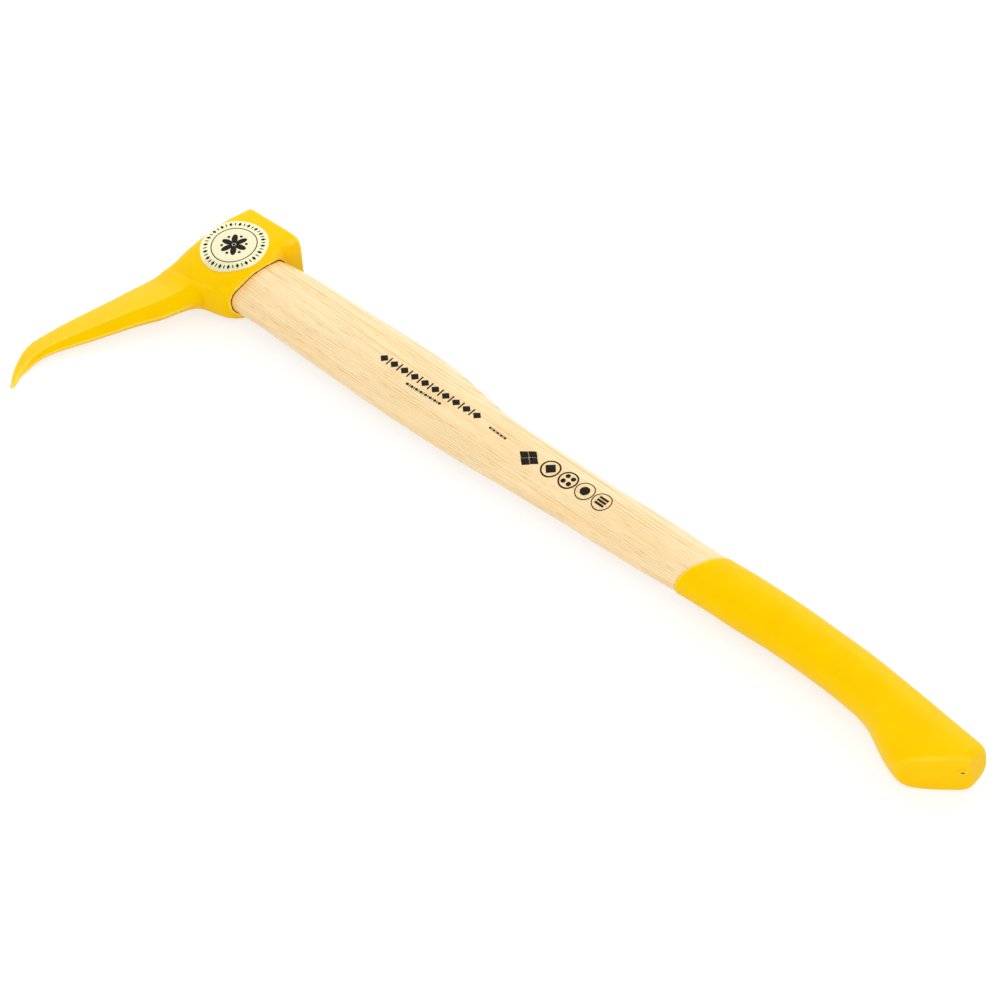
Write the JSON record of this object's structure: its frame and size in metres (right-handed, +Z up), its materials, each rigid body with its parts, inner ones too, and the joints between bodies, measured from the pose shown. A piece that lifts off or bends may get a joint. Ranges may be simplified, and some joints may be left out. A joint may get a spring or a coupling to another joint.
{
  "type": "hand sappie",
  "caption": "Short-handled forestry hookaroon: forged head with a curved spike and a flat poll, wedged on a swept ash handle with a dip-painted grip.",
  "frame": {"origin": "middle of the box round the tool, on the surface that it lies on", "axes": "+X from the head to the knob along the handle, +Y from the spike to the poll, +Z up, away from the surface; the tool lies on the spike's tip, one cheek and the knob"},
  "size_m": [0.5238, 0.153, 0.0342],
  "materials": {
    "yellow_enamel": "glossy yellow enamel sprayed over forged steel",
    "ash_wood": "pale ash, sanded and clear lacquered to a satin sheen",
    "beech_wood": "bare beech end grain, cut off flush",
    "bare_steel": "bare steel tube with a ground edge",
    "yellow_dip": "glossy yellow dip lacquer over the grip",
    "label_film": "cream printed film with a satin face"
  },
  "bodies": {
    "root": {"head": "yellow_enamel", "handle": "ash_wood", "wooden_wedge": "beech_wood", "ring_wedge": "bare_steel", "grip_coating": "yellow_dip", "cheek_label": "label_film"}
  },
  "joints": []
}
